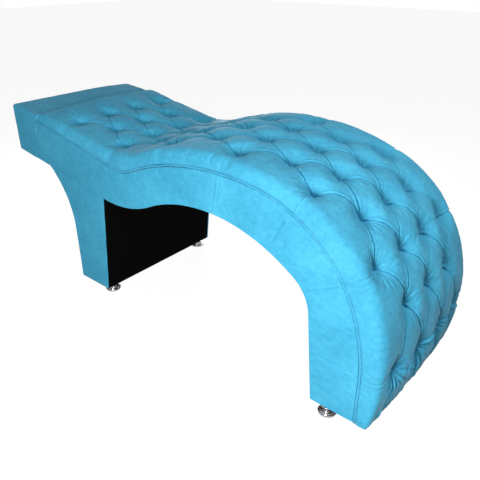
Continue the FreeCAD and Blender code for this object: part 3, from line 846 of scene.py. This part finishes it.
def makeSideCover(name, side, node):
    cells, down = sideSet["cells"]
    rimRun = np.linspace(sideSet["rimStops"][0], rim["run"][-1], cells + 1)
    rimStops, edgeStops = (*sideSet["rimStops"], rim["run"][-1]), (*sideSet["edgeStops"], edge["run"][-1])
    edgeRun = np.interp(rimRun, rimStops, edgeStops)
    for _ in range(400):
        edgeRun[1:-1] = (edgeRun[:-2] + edgeRun[2:]) / 2
    upper, _ = onLine(rim, rimRun, -3.8)
    lower, _ = onLine(edge, edgeRun, -2.0)
    share = np.linspace(0, 1, down + 1)
    share = share - 0.12 * np.sin(2 * math.pi * share) / 2
    flat = upper[:, None] * (1 - share[None, :, None]) + lower[:, None] * share[None, :, None]
    depth = np.linalg.norm(lower - upper, axis=1)[:, None]
    x, z = flat[..., 0], flat[..., 1]
    toEdge = np.minimum(share[None] * depth, (1 - share[None]) * depth)
    toEnd = np.minimum((rimRun - rimRun[0])[:, None] + 0 * z, np.where(x > 500, z - baseZ, 1e9))
    inset = rolledEdge(np.minimum(toEdge, toEnd), *sideSet["roll"])
    puff = sideSet["puff"] * np.sin(math.pi * np.clip(toEdge / depth * 2, 0, 1) / 2)
    puff += ripple(x, z, *sideSet["waves"])
    for a, b, deep in sideSet["creases"]:
        gap, signed, at = lineGap(x, z, a, b)
        fade = (1 - 0.35 * at) * deep * smoothStep(0.0, 0.06, 1 - at)
        puff += fade * stepFold(signed, *sideSet["creaseStep"])
        puff -= np.abs(fade) * mound(gap, *sideSet["creaseGroove"])
    y = side * (halfWidth - sideSet["under"] - inset + puff * smoothStep(0, 8, toEdge))
    bm = gridMesh(cells, down, np.stack([x, y, z], -1))
    faceOut(bm, lambda f: f.normal.y * side)
    piece = addPiece(name, bm, "velvet", [node])
    thicken(piece, sideSet["thick"])


for label, side in (("Left", 1), ("Right", -1)):
    makeSideCover("sideCover" + label, side, "side_cover_" + label.lower())
print("side covers made")

# Piping: a covered cord that follows the rim from the head pad to the hem
pipingSet = {
    "start": 160.0,
    "radius": 3.6,
    "points": 320,
    "lift": 0.2,
    "wobble": ((0.25, 37), (0.15, 13)),  # height and wave length
    "y": 296.4,
}


def makePiping(name, side, node):
    line = bpy.data.curves.new(name, "CURVE")
    line.dimensions = "3D"
    spline = line.splines.new("POLY")
    run = np.linspace(pipingSet["start"], rim["run"][-1] - 0.5, pipingSet["points"])
    lift = pipingSet["lift"]
    for height, wave in pipingSet["wobble"]:
        lift = lift + height * np.sin(run / wave)
    place, _ = onLine(rim, run, lift)
    spline.points.add(len(run) - 1)
    for point, (x, z) in zip(spline.points, place):
        point.co = (x * mm, side * pipingSet["y"] * mm, z * mm, 1)
    line.bevel_depth = pipingSet["radius"] * mm
    line.bevel_resolution = 4
    line.use_fill_caps = True
    holder = bpy.data.objects.new(name + "Line", line)
    scene.collection.objects.link(holder)
    mesh = bpy.data.meshes.new_from_object(holder.evaluated_get(bpy.context.evaluated_depsgraph_get()))
    bpy.data.objects.remove(holder)
    bm = bmesh.new()
    bm.from_mesh(mesh)
    bpy.data.meshes.remove(mesh)
    bmesh.ops.remove_doubles(bm, verts=bm.verts, dist=0.00005)
    bmesh.ops.recalc_face_normals(bm, faces=bm.faces)
    addPiece(name, bm, "velvet", [node])


for label, side in (("Left", 1), ("Right", -1)):
    makePiping("piping" + label, side, "piping_" + label.lower())
print("piping made")

# Head pad: a soft cap over the head end, open towards the tufted pad and the carcass
headSet = {
    "x": (-857.8, -688.4),
    "seam": (-691.4, 665.0, 0.29),  # top of the side seam and how far it leans
    "cells": (56, 150, 60),
    "endR": 13.0,
    "cornerDrop": (11.0, 130.0, 200.0),  # the far corner's soft fall: depth, reach along and across
    "sideR": (14.0, 30.0),  # along the sides; the larger one only on the far side at the tufted pad
    "heights": (14.0, 25.0),  # over the rim line, at the head end and at the tufted pad
    "below": 2.0,
    "under": 0.8,
    "thick": 0.005,
    "waves": (0.7, (190, 110, 60), 31),  # height, wave lengths and seed
    "crown": (2.2, 1.05),
    "padDip": (7, 10),  # depth and reach where the top meets the tufted pad
    "seamRoll": (2.6, 3.2),  # depth and reach of the rolled edge at the side seams
    "folds": (  # place along, start and stop across, and depth
        (-792.0, -0.55, 0.75, 1.5), (-764.0, -0.25, 0.98, 1.4), (-730.0, -0.85, 0.1, 0.8),
        (-712.0, -1.0, -0.5, 1.2),
    ),
    "foldStep": (0.7, 4, 14),  # height, sharpness and reach
    "foldGroove": (0.6, 5),
}


def headPlain(a, b, c):
    # a runs from the head end to the tufted pad, b across and c upwards; also the top and the end there
    rimX, rimZ = bedLines["rim"]["start"]
    rimFall, edgeFall = (math.tan(math.radians(-bedLines[name]["heading"])) for name in ("rim", "edge"))
    low, high = headSet["x"]
    seamX, seamZ, lean = headSet["seam"]
    seamFoot = seamX - 155.5 * lean
    headHigh, padHigh = headSet["heights"]
    top = rimZ - (low + (high - low) * a - rimX) * rimFall + headHigh + (padHigh - headHigh) * a
    drop, reachX, reachY = headSet["cornerDrop"]
    acrossShare = max(0.0, 1 - (1 - b) * halfWidth / reachY) ** 1.5
    top -= drop * max(0.0, 1 - (high - low) * a / reachX) * acrossShare
    bottom = bedLines["edge"]["start"][1] - headSet["below"] - (low + (seamFoot - low) * a - rimX) * edgeFall
    z = bottom + (top - bottom) * c
    end = min(high, seamX + (z - seamZ) * lean) if z < seamZ else high
    return low + (end - low) * a, b * halfWidth, z, top, end


def roundOff(place, inner, radius):
    # pulls a place in to the radius about an inner corner
    out = place - np.array(inner)
    size = np.linalg.norm(out)
    return inner + out * (radius / size) if size > radius else place


def headRound(x, y, z, top, sideR):
    # rounded along both sides first, then along the head edge
    place = np.array([x, y, z])
    endX, endR = headSet["x"][0] + headSet["endR"], headSet["endR"]
    if abs(y) > halfWidth - sideR and z > top - sideR:
        place = roundOff(place, [x, math.copysign(halfWidth - sideR, y), top - sideR], sideR)
    if x < endX:
        endY = np.clip(place[1], -halfWidth + endR, halfWidth - endR)
        place = roundOff(place, [endX, endY, min(place[2], top - endR)], endR)
    return place


def headFolds(x, b):
    total = 0.0
    for foldX, start, stop, deep in headSet["folds"]:
        gap = x - foldX - 5 * math.sin(b * 4 + foldX) - 3 * math.sin(b * 9)
        inside = smoothStep(start - 0.1, start + 0.2, b) * (1 - smoothStep(stop - 0.2, stop + 0.1, b))
        total += deep * inside * (stepFold(gap, *headSet["foldStep"]) - mound(gap, *headSet["foldGroove"]))
    return total


def makeHeadPad():
    bm = bmesh.new()
    bmesh.ops.create_cube(bm, size=1.0)
    for axis, cuts in enumerate(headSet["cells"]):
        chosen = [e for e in bm.edges if abs(e.verts[0].co[axis] - e.verts[1].co[axis]) > 0.5]
        bmesh.ops.subdivide_edges(bm, edges=chosen, cuts=cuts - 1, use_grid_fill=True)
    gone = [f for f in bm.faces if f.normal.z < -0.9 or f.normal.x > 0.9]
    bmesh.ops.delete(bm, geom=gone, context="FACES")
    nearR, farR = headSet["sideR"]
    crownHeight, crownReach = headSet["crown"]
    dip, dipReach = headSet["padDip"]
    for v in bm.verts:
        a, b, c = v.co.x + 0.5, v.co.y * 2, v.co.z + 0.5
        x, y, z, top, end = headPlain(a, b, c)
        point = headRound(x, y, z, top, nearR + (farR - nearR) * a if b > 0 else nearR)
        onSide, onTop = abs(b) > 0.999, c > 0.999
        normal = np.array([-float(a < 1e-6), math.copysign(1, b) * onSide, float(onTop)])
        normal /= np.linalg.norm(normal)
        bulge = ripple(np.array(x + 1.3 * z), np.array(y), *headSet["waves"])
        if onTop:
            bulge += crownHeight * math.cos(b * math.pi / 2) * math.sin(math.pi * min(1, a * crownReach))
            bulge -= dip * max(0.0, 1 - (headSet["x"][1] - x) / dipReach) ** 2
            bulge += headFolds(x, b)
        toSeam = end - x
        bulge *= smoothStep(0, 10, toSeam)
        if z < headSet["seam"][1]:
            bulge -= rolledEdge(toSeam, *headSet["seamRoll"])
        v.co = Vector(point + normal * (bulge - headSet["under"])) * mm
    faceOut(bm, lambda f: f.normal.z)
    piece = addPiece("headPad", bm, "velvet", ["head_pad"])
    thicken(piece, headSet["thick"])


makeHeadPad()
print("head pad made")

# Head leg: one velvet wrap over both sides and the curved outer face
legSet = {
    "cells": {"up": 120, "side": 50, "turn": 8, "back": 110},
    "cornerR": 7.0,
    "under": 0.8,
    "thick": 0.0035,
    "topRoll": (2.4, 2.4),  # depth and reach
    "inner": ((-356.0, 30.0), (-314.0, 447.0)),  # line of the inner face, low and high
    "waves": (0.5, (190, 100, 55), 41),  # height, wave lengths and seed
    "smallWaves": (0.3, (42, 25), 42),
}


def makeLegWrap():
    cells = legSet["cells"]
    edgePlace, _ = onLine(edge, np.linspace(0, 540, 400), -2.0)
    over = legBack["place"][:, 1] > np.interp(legBack["place"][:, 0], edgePlace[:, 0], edgePlace[:, 1])
    top = legBack["run"][np.argmax(over)] if over.any() else legBack["run"][-1]
    share = np.linspace(0, 1, cells["up"] + 1)
    share = share + 0.3 * share * (1 - share)
    back, _ = onLine(legBack, share * top)
    (x0, z0), (x1, z1) = legSet["inner"]
    innerTop = np.interp(x1, edgePlace[:, 0], edgePlace[:, 1])
    innerZ = z0 + (innerTop - z0) * share
    innerX = x0 + (x1 - x0) * (innerZ - z0) / (z1 - z0)
    # each path point: share of the way from the back to the inner face, y, sink and how far it faces sideways
    r, w = legSet["cornerR"], halfWidth - legSet["under"]
    path = [(1 - t, w, 0.0, 1.0) for t in np.linspace(0, 1, cells["side"] + 1)]
    for angle in np.linspace(0, math.pi / 2, cells["turn"] + 1)[1:]:
        path.append((0.0, w - r + r * math.cos(angle), r * math.sin(angle), math.cos(angle)))
    mirrored = [(a, -b, c, -d) for a, b, c, d in path[::-1]]
    path += [(0.0, t * (w - r), r, 0.0) for t in np.linspace(1, -1, cells["back"] + 1)[1:-1]] + mirrored
    place = np.zeros((len(path), len(share), 3))
    bx, bz = back[:, 0] + r, back[:, 1]
    for i, (blend, y, sink, sideways) in enumerate(path):
        x, z = bx + (innerX - bx) * blend - sink, bz + (innerZ - bz) * blend
        wave = ripple(x + 0.7 * y, z, *legSet["waves"])
        wave += ripple(x + y, z * 0.3, *legSet["smallWaves"])
        wave -= rolledEdge(np.interp(x, edgePlace[:, 0], edgePlace[:, 1]) - z, *legSet["topRoll"])
        wave -= 1.5 * (1 - smoothStep(0, 5, z - baseZ))
        place[i] = np.stack([x - (1 - abs(sideways)) * wave, y + sideways * wave, z], -1)
    bm = gridMesh(len(path) - 1, cells["up"], place)
    faceOut(bm, lambda f: f.normal.y * f.calc_center_median().y)
    piece = addPiece("legWrap", bm, "velvet", ["leg_cover_left", "leg_cover_right", "leg_back_cover"])
    thicken(piece, legSet["thick"])


makeLegWrap()
print("leg wrap made")

# Linings: black cloth stapled under the carcass and on the leg's inner face, a little slack
liningSet = {
    "underHalf": 292.4,
    "legHalf": 295.2,
    "cells": {"under": 220, "leg": 90, "across": 36},
    "sag": 2.6,
    "legSag": 0.5,  # share of the sag
    "evenSag": 0.55,
    "waves": (0.45, (300, 170, 90), 51),  # uneven share, wave lengths and seed
    "endFade": (0, 30),
    "lift": -1.2,
    "inset": 1.4,
    "thick": 0.0006,
}


def makeLining(name, node, line, normal, half):
    across = np.linspace(-1, 1, liningSet["cells"]["across"] + 1)
    run = runLength(line)
    field = liningSet["evenSag"] + ripple(run[:, None], across[None] * 290, *liningSet["waves"])
    slack = liningSet["sag"] * (1 - across[None] ** 4) * field
    for toEnd in (run, run[-1] - run):
        slack *= smoothStep(*liningSet["endFade"], toEnd)[:, None]
    x = line[:, None, 0] + normal[:, None, 0] * slack
    z = line[:, None, 1] + normal[:, None, 1] * slack
    y = np.repeat(across[None] * half, len(line), 0)
    bm = gridMesh(len(line) - 1, len(across) - 1, np.stack([x, y, z], -1))
    bmesh.ops.recalc_face_normals(bm, faces=bm.faces)
    piece = addPiece(name, bm, "black_lining", [node])
    thicken(piece, liningSet["thick"], 0)


def makeLinings():
    run = np.linspace(2, edge["run"][-1] - 1, liningSet["cells"]["under"])
    line, up = onLine(edge, run, liningSet["lift"])
    makeLining("underLining", "underside_lining", line, -up, liningSet["underHalf"])
    (x0, z0), (x1, z1) = legSet["inner"]
    count = liningSet["cells"]["leg"]
    line = np.stack([np.linspace(x0, x1, count), np.linspace(z0, z1 - 1, count)], -1)
    out = np.array([z1 - z0, x0 - x1]) / math.hypot(z1 - z0, x1 - x0)
    line -= out * liningSet["inset"]
    normals = np.repeat(out[None] * liningSet["legSag"], count, 0)
    makeLining("legLining", "leg_inner_lining", line, normals, liningSet["legHalf"])


makeLinings()
print("linings made")

# Feet: turned discs with rings, spun from a profile of (radius, height) in millimetres
footSet = {
    "profile": (
        (26.0, 3.0), (26.0, 1.2), (28.6, 1.0), (29.6, 1.4), (30.0, 2.4), (30.0, 6.4), (29.6, 7.4),
        (28.6, 8.0), (27.0, 8.0), (26.4, 7.4), (25.2, 7.2), (24.4, 7.8), (23.6, 9.8), (22.8, 10.4),
        (20.6, 10.4), (20.0, 9.9), (18.4, 9.7), (17.4, 10.6), (17.0, 12.4), (17.0, 22.6), (17.8, 24.0),
        (19.6, 24.8), (20.0, 25.6), (20.0, 28.6), (19.2, 29.5), (4.6, 29.5),
    ),
    "steps": 72,
    "bevel": (0.0003, 2),  # width and segments
}


def makeFoot(name, node):
    low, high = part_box(node)
    bm = bmesh.new()
    spinProfile(bm, footSet["profile"], footSet["steps"], (low.x + high.x) / 2, (low.y + high.y) / 2)
    bmesh.ops.remove_doubles(bm, verts=bm.verts, dist=0.00002)
    closeHoles(bm)
    piece = addPiece(name, bm, "chrome", [node], node)
    softEdges = piece.modifiers.new("edges", "BEVEL")
    softEdges.width, softEdges.segments = footSet["bevel"]


for kind in ("leg_foot_inner", "leg_foot_outer", "end_foot"):
    for label in ("left", "right"):
        words = (kind + "_" + label).split("_")
        makeFoot(words[0] + "".join(w.title() for w in words[1:]), kind + "_" + label)
print("feet made")

# Floor, light and camera
stageSet = {
    "camera": (1.258315, -1.395407, 1.233542),
    "azimuth": 0.694187,
    "elevation": 0.480756,
    "lens": 40.592,
    "ambient": 0.10,
    "floor": {"Base Color": (0.20, 0.20, 0.20, 1), "Roughness": 1.0, "Specular IOR Level": 0.0},
    "floorGlow": 0.92,  # as the camera and mirrors see it
    "lamps": (  # place, target, size, power
        ((0.95, -1.85, 0.85), (0.2, 0.0, 0.4), 0.45, 45.0),
        ((-0.3, -0.6, 3.0), (-0.2, 0.0, 0.5), 2.0, 2.0),
        ((1.4, 0.2, 2.2), (0.5, 0.0, 0.5), 1.0, 24.0),
        ((-1.7, 1.8, 0.55), (-0.2, 0.0, 0.4), 0.9, 32.0),
    ),
}


def addSeen(tree):
    # 1 where the camera, a mirror or glass looks, 0 where light falls on the object
    rays = tree.nodes.new("ShaderNodeLightPath").outputs
    clear = addMath(tree, "MAXIMUM", rays["Is Glossy Ray"], rays["Is Transmission Ray"])
    return addMath(tree, "MAXIMUM", rays["Is Camera Ray"], clear)


def makeFloor():
    bm = bmesh.new()
    bmesh.ops.create_grid(bm, x_segments=4, y_segments=4, size=14.0)
    floor = linkMesh("floor", bm)
    material, tree, shader = newMaterial("paleFloor")
    floor.data.materials.append(material)
    setSockets(shader, stageSet["floor"])
    glow = tree.nodes.new("ShaderNodeEmission")
    tree.links.new(addMath(tree, "MULTIPLY", addSeen(tree), stageSet["floorGlow"]), glow.inputs["Strength"])
    both = tree.nodes.new("ShaderNodeAddShader")
    tree.links.new(shader.outputs["BSDF"], both.inputs[0])
    tree.links.new(glow.outputs["Emission"], both.inputs[1])
    tree.links.new(both.outputs["Shader"], tree.nodes["Material Output"].inputs["Surface"])


def makeLight():
    world = bpy.data.worlds.new("studio")
    scene.world = world
    world.use_nodes = True
    tree = world.node_tree
    sky = tree.nodes["Background"]
    tree.links.new(addRange(tree, addSeen(tree), stageSet["ambient"], 1.0), sky.inputs["Strength"])
    sky.inputs["Color"].default_value = (1, 1, 1, 1)
    for number, (place, target, size, power) in enumerate(stageSet["lamps"], 1):
        lamp = bpy.data.lights.new(f"lamp{number}", "AREA")
        lamp.size = size
        lamp.energy = power
        holder = bpy.data.objects.new(f"lamp{number}", lamp)
        holder.location = place
        holder.rotation_euler = (Vector(place) - Vector(target)).to_track_quat("Z", "Y").to_euler()
        scene.collection.objects.link(holder)


def makeCamera():
    view = bpy.data.cameras.new("view")
    view.lens = stageSet["lens"]
    view.sensor_width = 36.0
    view.sensor_fit = "HORIZONTAL"
    camera = bpy.data.objects.new("view", view)
    camera.location = stageSet["camera"]
    a, e = stageSet["azimuth"], stageSet["elevation"]
    back = Vector((math.sin(a) * math.cos(e), -math.cos(a) * math.cos(e), math.sin(e)))
    camera.rotation_euler = (-back).to_track_quat("-Z", "Y").to_euler()
    scene.collection.objects.link(camera)
    scene.camera = camera


makeFloor()
makeLight()
makeCamera()
scene.view_settings.view_transform = "Standard"
